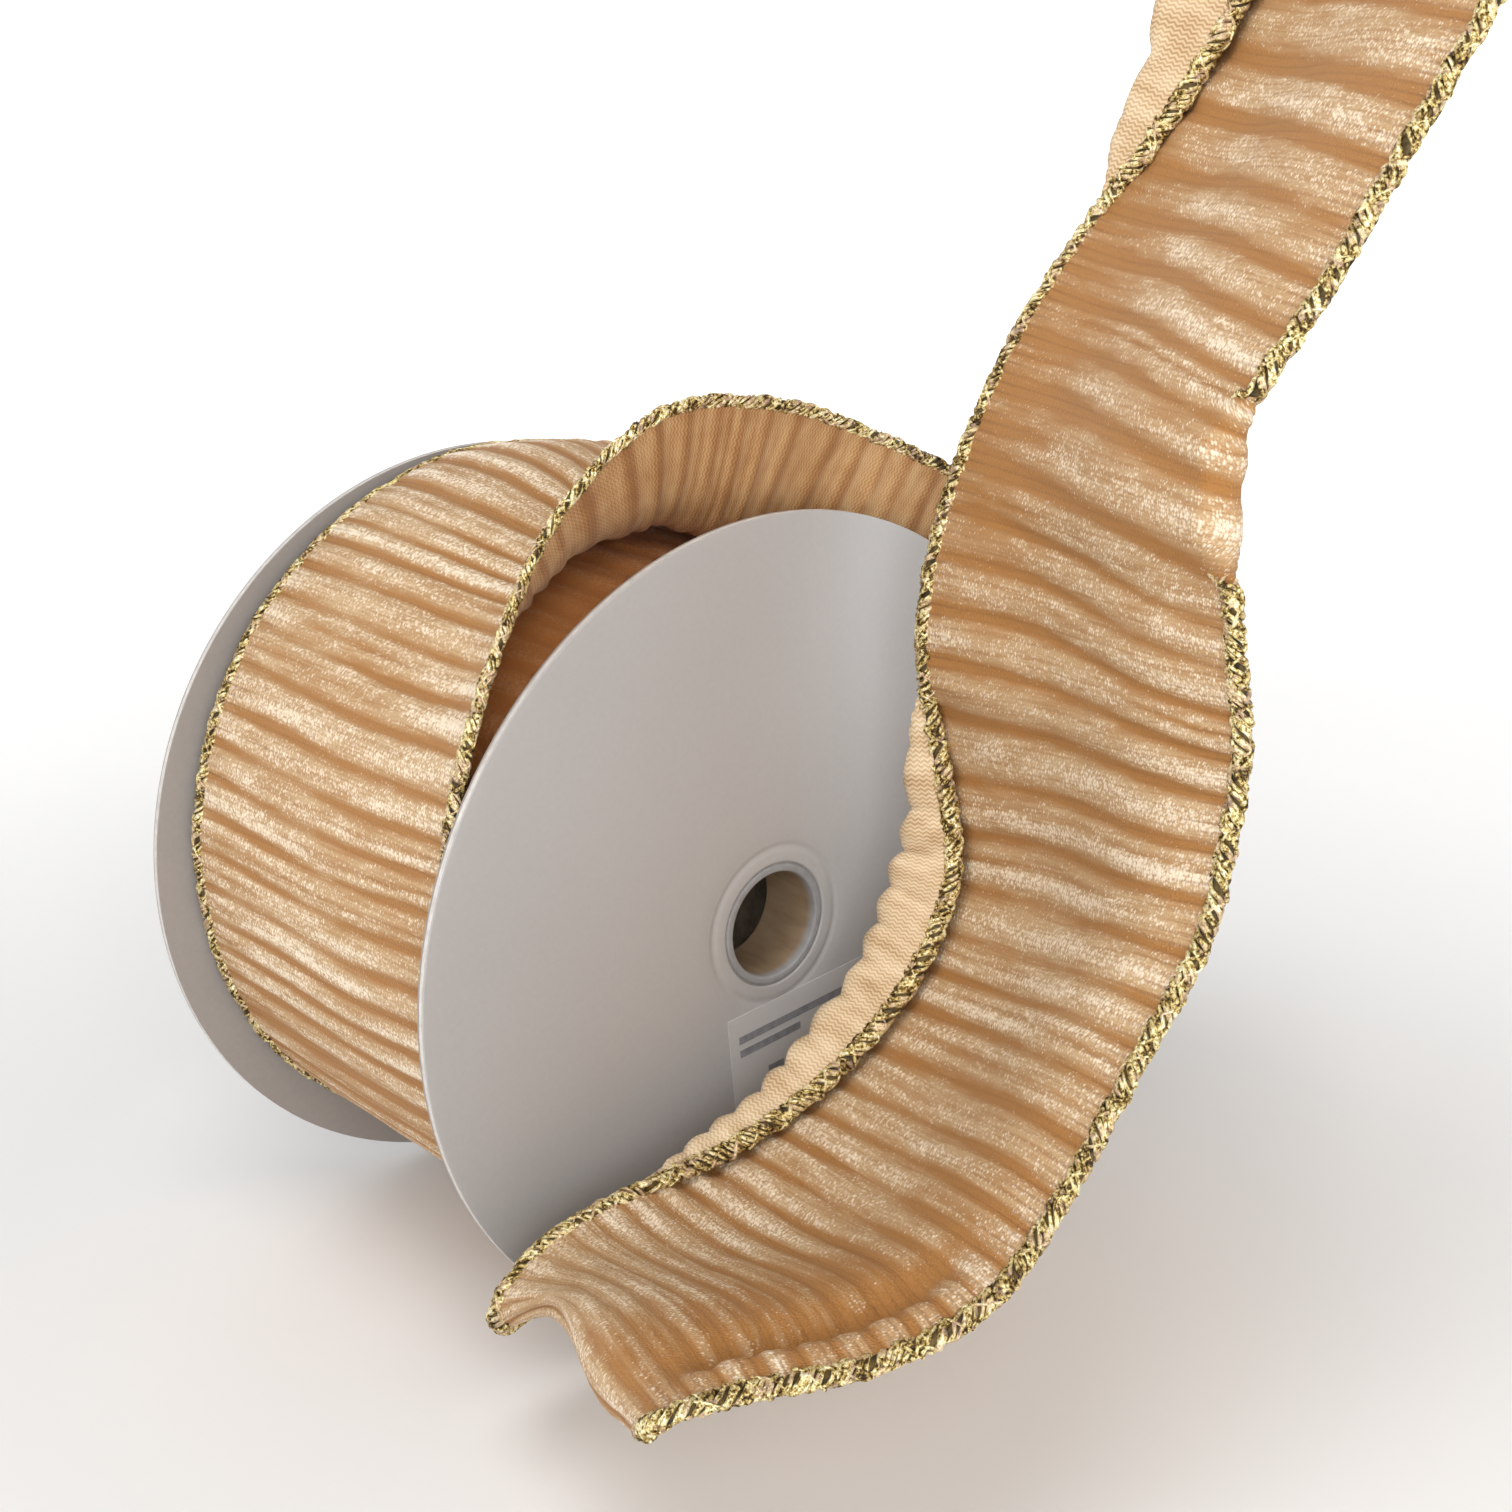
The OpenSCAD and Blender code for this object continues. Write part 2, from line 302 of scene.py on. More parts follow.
def surface(t0, t1, ds, cols):
    """Rows of the pleated middle surface between two stations, with normals, lengths, and marks for the pleat folds,
    painted highlight, painted shade and painted bounce light.
    """
    s0, s1 = float(s_of(t0)), float(s_of(t1))
    rows = int(round((s1 - s0) / ds)) + 1
    step = (s1 - s0) / (rows - 1)
    s = s0 + step * np.arange(-PAD, rows + PAD)
    lo, hi = S_FINE[0], S_FINE[-1]
    t = t_of(np.clip(s, lo, hi))
    x = sections(t, cols)
    # past the cut end the surface carries on straight
    over = np.maximum(s - hi, 0) - np.maximum(lo - s, 0)
    if np.any(over):
        good = np.flatnonzero(over == 0)
        for i in np.flatnonzero(over):
            a, b = (good[-1], good[-2]) if over[i] > 0 else (good[0], good[1])
            x[i] = x[a] + (x[a] - x[b]) / (s[a] - s[b]) * (s[i] - s[a])
    # a light smoothing along the ribbon takes out the kinks between stations
    for _ in range(2):
        y = x.copy()
        y[1:-1] = (x[:-2] + 2 * x[1:-1] + x[2:]) / 4
        x = y
    v = np.linspace(0, 1, cols)[None, :]
    near = np.minimum(v, 1 - v) * RIBBON_W
    height, fold, crest, phase = pleats(s[:, None], v)
    # finer pleats on the inner side of the turn
    eased = table(t[:, None], (-40, 0), (23.2, 0), (24.4, 1), (26.0, 1), (27.8, 0), (39, 0)) * (1 - smooth((v - 0.25) / 0.45))
    height, fold = height * (1 - 0.40 * eased), fold * (1 - 0.42 * eased)
    # painted shade: darker, with no highlight, along the crease near the front margin just after the turn
    crease_shade = table(t[:, None], (-40, 0), (24.3, 0), (25.2, 1.0), (26.6, 0.9), (27.6, 0), (39, 0)) * bump(v, 0.865, 0.028)
    fold = np.clip(fold + crease_shade, 0, 1.3)
    crest = crest * (1 - np.clip(crease_shade, 0, 1))
    # painted shade: a broad darker band with less highlight across the inner side of the turn
    hollow_shade = table(t[:, None], (-40, 0), (23.4, 0), (24.6, 1), (26.4, 1), (28.6, 0), (39, 0)) * bump(v, 0.76, 0.17)
    fold = np.clip(fold + 0.34 * hollow_shade, 0, 1.3)
    crest = crest * (1 - 0.45 * hollow_shade)
    # painted shade: the left third of the tail's top is darker with less highlight, and the whole top of the tail a
    # little darker
    tail_top_shade = table(t[:, None], (-40, 0), (31.5, 0), (34, 1), (39, 1)) * (1 - smooth((v - 0.12) / 0.40))
    crest = crest * (1 - 0.60 * tail_top_shade)
    fold = np.clip(fold + 0.24 * tail_top_shade + table(t[:, None], (-40, 0), (31, 0), (34, 0.20), (39, 0.20)), 0, 1.3)
    # painted shade: darker, with less highlight, on the roll's underside
    under = table(t[:, None], (-40, 0), (-12, 0), (-9, 1), (-3.0, 1), (-0.4, 0), (39, 0))
    crest = crest * (1 - 0.25 * under)
    fold = np.clip(fold + 0.12 * under, 0, 1.3)
    # stronger painted shade in the folds and painted highlight on the ridges of the roll and the start of the loose
    # turn
    rolled = table(t[:, None], (-40, 1), (2, 1), (8, 0), (39, 0))
    fold = np.clip(fold * (1 + 0.22 * rolled), 0, 1.3)
    crest = np.clip(crest * (1 + 0.30 * rolled), 0, 1.2)
    # painted shade: marks the inside of the loose turn's arch and part of the wound turn
    inside_shade = np.broadcast_to(table(t[:, None], (-40, 1), (-24, 1), (-19.5, 1), (-16.5, 0), (0, 0), (2, 1), (12, 1), (17, 0.55), (24, 0), (39, 0)), fold.shape)
    # painted light: warm bounced light on part of the wound turn
    warm_bounce = inside_shade * (t[:, None] < -5)
    wound = smooth(-s / 12)[:, None] * 0.15
    taper = (0.45 + 0.55 * smooth(near / 7)) * (1 - wound)
    calm = table(t[:, None], (-40, 0), (25, 0), (27, 0.5), (39, 0.5)) * (1 - smooth((v - 0.10) / 0.12))
    taper = taper * (1 - calm)
    n = grid_normals(x)
    # where the rear margin is rolled over, each pleat billows outwards on its back
    billow = table(t[:, None], (-40, 0), (25.2, 0), (26.4, 1), (31.4, 1), (32.4, 0), (36, 0), (37.2, 0.8), (39, 0.8)) * bump(v, 0.11, 0.062)
    billow = billow * (np.abs(np.cos(np.pi * phase)) ** 0.6 - 0.45) * (1.10 + 0.35 * NB.at(s[:, None] / 9 + 40, 2.5))
    x = x + n * (height * taper - billow)[..., None]
    n = grid_normals(x)
    k = slice(PAD, PAD + rows)
    return x[k], n[k], s[k], (fold[k], crest[k], inside_shade[k], warm_bounce[k])


# ------------------------------------------------------------------- meshes
def new_object(name, verts_mm, faces, mats=(), mat_index=None, smooth_faces=True):
    me = bpy.data.meshes.new(name)
    verts = np.asarray(verts_mm, np.float32) * 0.001
    me.vertices.add(len(verts))
    me.vertices.foreach_set("co", verts.ravel())
    faces = np.asarray(faces, np.int32)
    k = faces.shape[1]
    me.loops.add(faces.size)
    me.loops.foreach_set("vertex_index", faces.ravel())
    me.polygons.add(len(faces))
    me.polygons.foreach_set("loop_start", np.arange(0, faces.size, k, dtype=np.int32))
    me.polygons.foreach_set("loop_total", np.full(len(faces), k, np.int32))
    me.update(calc_edges=True)
    if mat_index is not None:
        me.polygons.foreach_set("material_index", np.asarray(mat_index, np.int32))
    me.polygons.foreach_set("use_smooth", np.full(len(faces), smooth_faces, bool))
    for m in mats:
        me.materials.append(m)
    me.validate()
    o = bpy.data.objects.new(name, me)
    bpy.context.scene.collection.objects.link(o)
    return o


def set_uv(o, uv_per_vertex):
    me = o.data
    idx = np.empty(len(me.loops), np.int32)
    me.loops.foreach_get("vertex_index", idx)
    layer = me.uv_layers.new(name="UVMap")
    layer.data.foreach_set("uv", np.asarray(uv_per_vertex, np.float32)[idx].ravel())


def set_attr(o, name, values):
    a = o.data.attributes.new(name, "FLOAT", "POINT")
    a.data.foreach_set("value", np.asarray(values, np.float32).ravel())


def mark_sharp(o, angle=50):
    o.data.set_sharp_from_angle(angle=math.radians(angle))


def thin_sheet(name, t0, t1, ds, cols, mats, thick=0.5):
    """A closed thin sheet of ribbon: velvet face outwards, knitted back inwards."""
    x, n, s, marks = surface(t0, t1, ds, cols)
    rows = len(s)
    v = np.linspace(0, 1, cols)
    front, back = x + n * thick * 0.6, x - n * thick * 0.4
    idx = np.arange(rows * cols).reshape(rows, cols)
    off = rows * cols
    a, b, c, d = idx[:-1, :-1], idx[:-1, 1:], idx[1:, 1:], idx[1:, :-1]
    quads = [np.stack([a, b, c, d], -1).reshape(-1, 4),
             np.stack([d, c, b, a], -1).reshape(-1, 4) + off]
    l, r = idx[:, 0], idx[:, -1]
    quads.append(np.stack([l[:-1], l[1:], l[1:] + off, l[:-1] + off], -1))
    quads.append(np.stack([r[1:], r[:-1], r[:-1] + off, r[1:] + off], -1))
    f, e = idx[0], idx[-1]
    quads.append(np.stack([f[1:], f[:-1], f[:-1] + off, f[1:] + off], -1))
    quads.append(np.stack([e[:-1], e[1:], e[1:] + off, e[:-1] + off], -1))
    faces = np.concatenate(quads)
    mat = np.ones(len(faces), int)
    mat[: len(quads[0])] = 0
    verts = np.concatenate([front.reshape(-1, 3), back.reshape(-1, 3)])
    o = new_object(name, verts, faces, mats, mat)
    uv = np.stack(np.broadcast_arrays(v[None, :] * RIBBON_W, s[:, None]), -1).reshape(-1, 2) * 0.001
    set_uv(o, np.concatenate([uv, uv + np.array([0.08, 0])]))
    for label, h in zip(("fold", "crest", "inside_shade", "warm_bounce"), marks):
        set_attr(o, label, np.concatenate([h.reshape(-1), h.reshape(-1)]))
    rim = np.broadcast_to(1 - smooth(np.minimum(v, 1 - v)[None, :] * RIBBON_W / 9), (rows, cols)).reshape(-1)
    set_attr(o, "rim", np.concatenate([rim, rim]))
    mark_sharp(o, 70)
    return o, (x, n, s)


def tube(path, radius, sides, close_ends=True):
    """Vertices and quads of a tube along path (n, 3); radius is a number or (n,)."""
    n = len(path)
    tan = unit(np.gradient(path, axis=0))
    ref = np.zeros_like(path)
    r0 = np.cross(tan[0], [0.3, 0.5, 0.81])
    ref[0] = r0 / np.linalg.norm(r0)
    for i in range(1, n):
        r = ref[i - 1] - tan[i] * (ref[i - 1] @ tan[i])
        ref[i] = r / np.linalg.norm(r)
    bi = np.cross(tan, ref)
    a = 2 * np.pi * np.arange(sides) / sides
    rad = np.broadcast_to(np.asarray(radius, float), (n,))[:, None, None]
    pts = path[:, None] + rad * (np.cos(a)[None, :, None] * ref[:, None] + np.sin(a)[None, :, None] * bi[:, None])
    return ring_mesh(pts)


def ring_mesh(pts):
    """Quads around rings of points, with a fan of quads closing each end on a centre point."""
    n, m = pts.shape[:2]
    idx = np.arange(n * m).reshape(n, m)
    nxt = np.roll(idx, -1, axis=1)
    quads = np.stack([idx[:-1], nxt[:-1], nxt[1:], idx[1:]], -1).reshape(-1, 4)
    verts = np.concatenate([pts.reshape(-1, 3), [pts[0].mean(0)], [pts[-1].mean(0)]])
    c0, c1 = n * m, n * m + 1
    j = np.arange(0, m, 2)
    first = np.stack([np.full(len(j), c0), idx[0][(j + 2) % m], idx[0][(j + 1) % m], idx[0][j]], -1)
    last = np.stack([np.full(len(j), c1), idx[-1][j], idx[-1][(j + 1) % m], idx[-1][(j + 2) % m]], -1)
    return verts, np.concatenate([quads, first, last])


def join_parts(parts):
    verts, faces, mats, base = [], [], [], 0
    for v, f, m in parts:
        verts.append(v)
        faces.append(f + base)
        mats.append(np.full(len(f), m))
        base += len(v)
    return np.concatenate(verts), np.concatenate(faces), np.concatenate(mats)


def running_mean(a, k):
    pad = np.concatenate([np.repeat(a[:1], k, 0), a, np.repeat(a[-1:], k, 0)])
    c = np.cumsum(np.concatenate([np.zeros((1,) + a.shape[1:]), pad]), axis=0)
    return (c[2 * k + 1:] - c[:-2 * k - 1]) / (2 * k + 1)


# One long centre line for each gold edge, from the wound roll to the cut end.
def edge_lines():
    x, n, s, _ = surface(-WOUND + 0.01, LAST, 0.6, 90)
    lines = []
    for e in (0, 1):
        j, inner = (0, 3) if e == 0 else (-1, -4)
        c = running_mean(x[:, j], 2)
        out = unit(running_mean(x[:, j] - x[:, inner], 4))
        nor = unit(running_mean(n[:, inner], 4))
        tan = unit(np.gradient(c, axis=0))
        out = unit(out - tan * np.sum(out * tan, 1)[:, None])
        nor = unit(np.cross(tan, out)) * np.sign(np.sum(np.cross(tan, out) * nor, 1))[:, None]
        run = np.concatenate([[0], np.cumsum(np.linalg.norm(np.diff(c, axis=0), axis=1))])
        lines.append((c, out, nor, run, s))
    return lines


LINES = edge_lines()


def on_line(line, at):
    c, out, nor, run, _ = line
    pick = lambda a: np.stack([np.interp(at, run, a[:, k]) for k in range(3)], -1)
    return pick(c), unit(pick(out)), unit(pick(nor))


def gold_edge(name, e, t0, t1, mats, half_w=0.98, half_t=0.60):
    """An edge overlocked with metallic thread: a dark core, and strands laid round it both ways."""
    line = LINES[e]
    a, b = (float(np.interp(s_of(t), line[4], line[3])) for t in (t0, t1))
    parts = []
    # pulled thinner where the edge is stretched over the arch of the loose turn
    slim = lambda at: table(t_of(np.interp(at, line[3], line[4])), (-40, 1.0), (0.5, 1.0), (3.0, 0.68), (10.5, 0.68), (13.5, 1.0), (39, 1.0))
    at = np.linspace(a, b, int((b - a) / 0.9) + 2)
    c, out, nor = on_line(line, at)
    out, nor = out * slim(at)[:, None], nor * slim(at)[:, None]
    ang = 2 * np.pi * np.arange(10) / 10
    pts = c[:, None] + 0.98 * half_w * np.cos(ang)[None, :, None] * out[:, None] + 0.95 * half_t * np.sin(ang)[None, :, None] * nor[:, None]
    parts.append((*ring_mesh(pts), 0))
    lay = 4.8
    at = np.linspace(a, b, int((b - a) / lay * 22) + 2)
    c, out, nor = on_line(line, at)
    thin = slim(at)
    out, nor = out * thin[:, None], nor * thin[:, None]
    strands = [(1, 0.00, 0.34, 0.98), (1, 0.18, 0.28, 1.02), (1, 0.34, 0.33, 0.97), (1, 0.52, 0.27, 1.03), (1, 0.67, 0.32, 0.98), (1, 0.85, 0.29, 1.02),
               (-0.6, 0.10, 0.21, 1.24), (-0.85, 0.60, 0.20, 1.22)]
    for k, (turn, phase, r, push) in enumerate(strands):
        wob = 0.095 * NA.at(at / 2.9, k * 7.0 + e * 3) + 0.045 * NB.at(at / 1.1, k * 5.0)
        th = 2 * np.pi * (turn * at / lay + phase + wob)
        fat = 1 + 0.34 * NC.at(at / 1.5, k * 9.0 + e)
        weave = push + 0.09 * np.cos(2 * th + k) + 0.10 * ND.at(at / 1.4, k * 4.0)
        path = c + (half_w * weave * np.cos(th))[:, None] * out + (half_t * weave * 1.15 * np.sin(th))[:, None] * nor
        parts.append((*tube(path, r * fat * (0.25 + 0.75 * thin), 5), 1))
    verts, faces, idx = join_parts(parts)
    return new_object(name, verts, faces, mats, idx)


def wire_piece(name, e, t0, t1, mat, extra=0.0):
    line = LINES[e]
    a, b = (float(np.interp(s_of(t), line[4], line[3])) for t in (t0, t1))
    at = np.linspace(a, b, int((b - a) / 1.5) + 2)
    c, _, _ = on_line(line, at)
    if extra:
        c = np.concatenate([c, [c[-1] + unit(c[-1] - c[-2]) * extra]])
    verts, faces = tube(c, 0.25, 8)
    return new_object(name, verts, faces, [mat])


def lathe(name, profile, mats, n=256, sharp=35):
    """A closed (radius, y) profile in mm turned round the Y axis."""
    prof = np.array(profile, float)
    m = len(prof)
    a = 2 * np.pi * np.arange(n) / n
    pts = np.stack([prof[None, :, 0] * np.cos(a)[:, None],
                    np.broadcast_to(prof[None, :, 1], (n, m)),
                    prof[None, :, 0] * np.sin(a)[:, None]], -1)
    idx = np.arange(n * m).reshape(n, m)
    right, up = np.roll(idx, -1, axis=0), np.roll(idx, -1, axis=1)
    both = np.roll(right, -1, axis=1)
    faces = np.stack([idx, up, both, right], -1).reshape(-1, 4)
    area = np.sum(prof[:, 0] * np.roll(prof[:, 1], -1) - np.roll(prof[:, 0], -1) * prof[:, 1])
    if area > 0:
        faces = faces[:, ::-1]
    o = new_object(name, pts.reshape(-1, 3), faces, mats)
    bm = bmesh.new()
    bm.from_mesh(o.data)
    bmesh.ops.recalc_face_normals(bm, faces=bm.faces)
    bm.to_mesh(o.data)
    bm.free()
    mark_sharp(o, sharp)
    return o


def arc(cx, cy, r, a0, a1, n=6):
    return [(cx + r * math.cos(math.radians(a0 + (a1 - a0) * k / n)),
             cy + r * math.sin(math.radians(a0 + (a1 - a0) * k / n))) for k in range(n + 1)]


# ---------------------------------------------------------------- materials
class Nodes:
    """A short way to wire a material."""

    def __init__(self, name):
        self.m = bpy.data.materials.new(name)
        self.m.use_nodes = True
        self.t = self.m.node_tree
        self.t.nodes.clear()
        self.out = self.t.nodes.new("ShaderNodeOutputMaterial")
        self.bsdf = self.t.nodes.new("ShaderNodeBsdfPrincipled")
        self.t.links.new(self.bsdf.outputs[0], self.out.inputs[0])

    def add(self, kind, **props):
        n = self.t.nodes.new(kind)
        for k, v in props.items():
            setattr(n, k, v)
        return n

    def link(self, a, b):
        self.t.links.new(a, b)

    def value(self, socket, v):
        self.bsdf.inputs[socket].default_value = v

    def coords(self, kind="UV", scale=(1, 1, 1), rot=(0, 0, 0)):
        tc = self.add("ShaderNodeTexCoord")
        mp = self.add("ShaderNodeMapping")
        mp.inputs["Scale"].default_value = scale
        mp.inputs["Rotation"].default_value = rot
        self.link(tc.outputs[kind], mp.inputs["Vector"])
        return mp.outputs["Vector"]

    def noise(self, vec, scale=1.0, detail=2.0, rough=0.5, distortion=0.0):
        n = self.add("ShaderNodeTexNoise")
        n.inputs["Scale"].default_value = scale
        n.inputs["Detail"].default_value = detail
        n.inputs["Roughness"].default_value = rough
        n.inputs["Distortion"].default_value = distortion
        self.link(vec, n.inputs["Vector"])
        return n.outputs[0]

    def math(self, op, a, b=None, c=None, clamp=False):
        n = self.add("ShaderNodeMath", operation=op, use_clamp=clamp)
        for i, x in enumerate((a, b, c)):
            if x is None:
                continue
            if isinstance(x, (int, float)):
                n.inputs[i].default_value = x
            else:
                self.link(x, n.inputs[i])
        return n.outputs[0]

    def ramp(self, fac, stops):
        n = self.add("ShaderNodeValToRGB")
        cr = n.color_ramp
        while len(cr.elements) < len(stops):
            cr.elements.new(0.5)
        for e, (p, c) in zip(cr.elements, stops):
            e.position = p
            e.color = (*c, 1)
        self.link(fac, n.inputs[0])
        return n.outputs[0]

    def mix(self, fac, a, b, blend="MIX"):
        n = self.add("ShaderNodeMix", data_type="RGBA", blend_type=blend)
        for s, x in ((n.inputs["Factor"], fac), (n.inputs[6], a), (n.inputs[7], b)):
            if isinstance(x, (int, float)):
                s.default_value = x
            elif isinstance(x, tuple):
                s.default_value = (*x, 1)
            else:
                self.link(x, s)
        return n.outputs[2]

    def bump(self, height, strength, distance):
        n = self.add("ShaderNodeBump")
        n.inputs["Strength"].default_value = strength
        n.inputs["Distance"].default_value = distance
        self.link(height, n.inputs["Height"])
        self.link(n.outputs[0], self.bsdf.inputs["Normal"])

    def color(self, c):
        if isinstance(c, tuple):
            self.bsdf.inputs["Base Color"].default_value = (*c, 1)
        else:
            self.link(c, self.bsdf.inputs["Base Color"])

    def rough(self, r):
        if isinstance(r, (int, float)):
            self.bsdf.inputs["Roughness"].default_value = r
        else:
            self.link(r, self.bsdf.inputs["Roughness"])


def srgb(r, g, b):
    f = lambda x: (x / 255 / 12.92) if x <= 10 else ((x / 255 + 0.055) / 1.055) ** 2.4
    return (f(r), f(g), f(b))


def velvet_material():
    k = Nodes("velvet_pile")
    fold = k.add("ShaderNodeAttribute", attribute_name="fold").outputs["Fac"]
    rim = k.add("ShaderNodeAttribute", attribute_name="rim").outputs["Fac"]
    # painted glints: tufts of pile drawn pale as if catching the light, thickest in bands along the ridges
    tuft = k.add("ShaderNodeTexVoronoi", feature="F1")
    k.link(k.coords("UV", (2900, 2000, 1)), tuft.inputs["Vector"])
    tuft.inputs["Scale"].default_value = 1.0
    tuft.inputs["Randomness"].default_value = 0.6
    grain = k.noise(k.coords("UV", (5200, 3600, 1)), 1.0, 2.0, 0.7)
    band = k.noise(k.coords("UV", (120, 520, 1)), 1.0, 2.0, 0.6, 0.4)
    patch = k.noise(k.coords("UV", (45, 110, 1)), 1.0, 2.0, 0.5)
    lone = k.add("ShaderNodeSeparateColor")
    k.link(tuft.outputs["Color"], lone.inputs[0])
    dot = k.math("MULTIPLY_ADD", tuft.outputs["Distance"], -1.15, k.math("MULTIPLY_ADD", lone.outputs[0], 0.42, k.math("MULTIPLY", grain, 0.9)))
    crest = k.add("ShaderNodeAttribute", attribute_name="crest").outputs["Fac"]
    thick = k.math("MULTIPLY_ADD", band, 1.35, k.math("MULTIPLY", patch, 0.5))
    thick = k.math("MULTIPLY_ADD", crest, 0.85, thick)
    thick = k.math("MULTIPLY_ADD", fold, -0.75, thick)
    # more painted highlight towards the ribbon's margins
    thick = k.math("MULTIPLY_ADD", rim, 0.12, thick)
    light = k.math("ADD", dot, k.math("MULTIPLY_ADD", thick, 0.66, -0.82))
    # painted shade: the base is darker and more orange deep in the pleat folds
    base = k.mix(k.math("MULTIPLY_ADD", fold, 0.9, k.math("MULTIPLY_ADD", thick, -0.80, 0.86), clamp=True),
                 srgb(210, 178, 136), srgb(176, 122, 62))
    streak = k.noise(k.coords("UV", (80, 1900, 1)), 1.0, 3.0, 0.65, 0.3)
    base = k.mix(k.ramp(streak, [(0.40, (0.50, 0.50, 0.50)), (0.54, (0, 0, 0))]), base, srgb(170, 118, 60))
    base = k.mix(k.ramp(grain, [(0.40, (0.26, 0.26, 0.26)), (0.60, (0, 0, 0))]), base, srgb(134, 88, 44))
    # painted highlight: pale where the tufts, bands and the lit sides of the ridges are strongest
    shine = k.ramp(light, [(0.0, (0, 0, 0)), (0.14, (0.22, 0.22, 0.22)), (0.34, (0.62, 0.62, 0.62)), (0.56, (1, 1, 1))])
    col = k.mix(shine, base, srgb(250, 232, 206))
    # the knit's rows show near the margins and in the folds
    rows = k.add("ShaderNodeTexWave", wave_type="BANDS", bands_direction="Y", wave_profile="SIN")
    k.link(k.coords("UV", (1, 1, 1)), rows.inputs["Vector"])
    rows.inputs["Scale"].default_value = 265
    rows.inputs["Distortion"].default_value = 0.8
    rows.inputs["Detail"].default_value = 1.0
    rows.inputs["Detail Scale"].default_value = 300
    line = k.math("MULTIPLY", k.ramp(rows.outputs[1], [(0.06, (1, 1, 1)), (0.30, (0, 0, 0))]),
                  k.math("MULTIPLY_ADD", rim, 0.40, k.math("MULTIPLY", fold, 0.30), clamp=True))
    # painted light: warm bounced light makes this part of the wound turn brighter and more orange
    warm_bounce = k.add("ShaderNodeAttribute", attribute_name="warm_bounce").outputs["Fac"]
    col = k.mix(line, col, srgb(140, 92, 48))
    k.color(k.mix(warm_bounce, col, k.mix(1.0, k.mix(0.70, col, srgb(254, 184, 112)), (1.0, 0.80, 0.60), "MULTIPLY")))
    k.rough(k.ramp(shine, [(0.0, (0.74, 0.74, 0.74)), (1.0, (0.36, 0.36, 0.36))]))
    k.value("Specular IOR Level", 0.45)
    k.value("Sheen Weight", 0.08)
    k.value("Sheen Roughness", 0.4)
    k.value("Sheen Tint", (1.0, 0.90, 0.76, 1))
    pile = k.math("MULTIPLY_ADD", tuft.outputs["Distance"], -0.9, k.math("MULTIPLY", grain, 0.8))
    pile = k.math("MULTIPLY_ADD", rows.outputs[1], 0.12, pile)
    k.bump(k.math("MULTIPLY_ADD", band, 1.2, pile), 0.8, 0.00025)
    return k.m


def back_material():
    k = Nodes("knit_back")
    fold = k.add("ShaderNodeAttribute", attribute_name="fold").outputs["Fac"]
    uv = k.add("ShaderNodeSeparateXYZ")
    k.link(k.coords("UV", (1, 1, 1)), uv.inputs[0])
    u, v = uv.outputs[0], uv.outputs[1]
    # rows of stitches along the ribs, each row a fine zigzag
    lean = k.math("PINGPONG", k.math("MULTIPLY", u, 1 / 0.00082), 0.5)
    a = k.math("SINE", k.math("MULTIPLY_ADD", v, 2 * math.pi / 0.00056, k.math("MULTIPLY", lean, 2 * math.pi * 1.1)))
    soft = k.noise(k.coords("UV", (260, 420, 1)), 1.0, 2.0, 0.5)
    fac = k.math("MULTIPLY_ADD", a, 0.11, k.math("MULTIPLY_ADD", soft, 0.45, 0.26))
    # painted shade: the back is darker and browner inside the arch and on the wound turn, and darker in its folds, most
    # of all inside
    inside_shade = k.add("ShaderNodeAttribute", attribute_name="inside_shade").outputs["Fac"]
    fac = k.math("SUBTRACT", fac, k.math("MULTIPLY", fold, k.math("MULTIPLY_ADD", inside_shade, 0.30, 0.07)), clamp=True)
    k.color(k.mix(k.math("MULTIPLY", inside_shade, 0.85),
                  k.ramp(fac, [(0.28, srgb(172, 138, 100)), (0.46, srgb(208, 182, 146)), (0.66, srgb(230, 210, 180))]),
                  k.ramp(fac, [(0.14, srgb(136, 88, 46)), (0.34, srgb(164, 116, 68)), (0.54, srgb(184, 142, 92)), (0.72, srgb(198, 160, 112))])))
    k.rough(0.78)
    k.value("Specular IOR Level", 0.25)
    k.value("Sheen Weight", 0.12)
    k.value("Sheen Tint", (1.0, 0.95, 0.85, 1))
    k.bump(k.math("MULTIPLY_ADD", a, 0.30, soft), 0.6, 0.00014)
    return k.m


def gold_material():
    k = Nodes("metallic_thread")
    pos = k.coords("Object", (1, 1, 1))
    glint = k.noise(pos, 2000, 2.0, 0.7)
    tone = k.noise(pos, 520, 2.0, 0.5)
    pink = k.noise(pos, 650, 1.0, 0.5, 0.5)
    # painted glints: the top of this ramp gives the thread pale highlights
    col = k.ramp(k.math("MULTIPLY_ADD", glint, 0.66, k.math("MULTIPLY", tone, 0.34)),
                 [(0.40, srgb(54, 36, 12)), (0.45, srgb(130, 100, 44)), (0.505, srgb(200, 175, 106)), (0.565, srgb(246, 233, 178)), (0.63, srgb(255, 250, 218))])
    col = k.mix(k.ramp(pink, [(0.54, (0, 0, 0)), (0.62, (0.5, 0.5, 0.5))]), col, srgb(224, 194, 168))
    k.color(col)
    k.value("Metallic", 0.38)
    k.rough(k.ramp(glint, [(0.38, (0.55, 0.55, 0.55)), (0.62, (0.22, 0.22, 0.22))]))
    k.bump(k.math("MULTIPLY_ADD", tone, 0.5, glint), 1.0, 0.00035)
    return k.m


def core_material():
    k = Nodes("edge_core")
    n = k.noise(k.coords("Object", (1, 1, 1)), 900, 2.0, 0.6)
    k.color(k.ramp(n, [(0.35, srgb(46, 36, 16)), (0.65, srgb(104, 84, 42))]))
    k.value("Metallic", 0.35)
    k.rough(0.55)
    k.bump(n, 0.6, 0.0002)
    return k.m


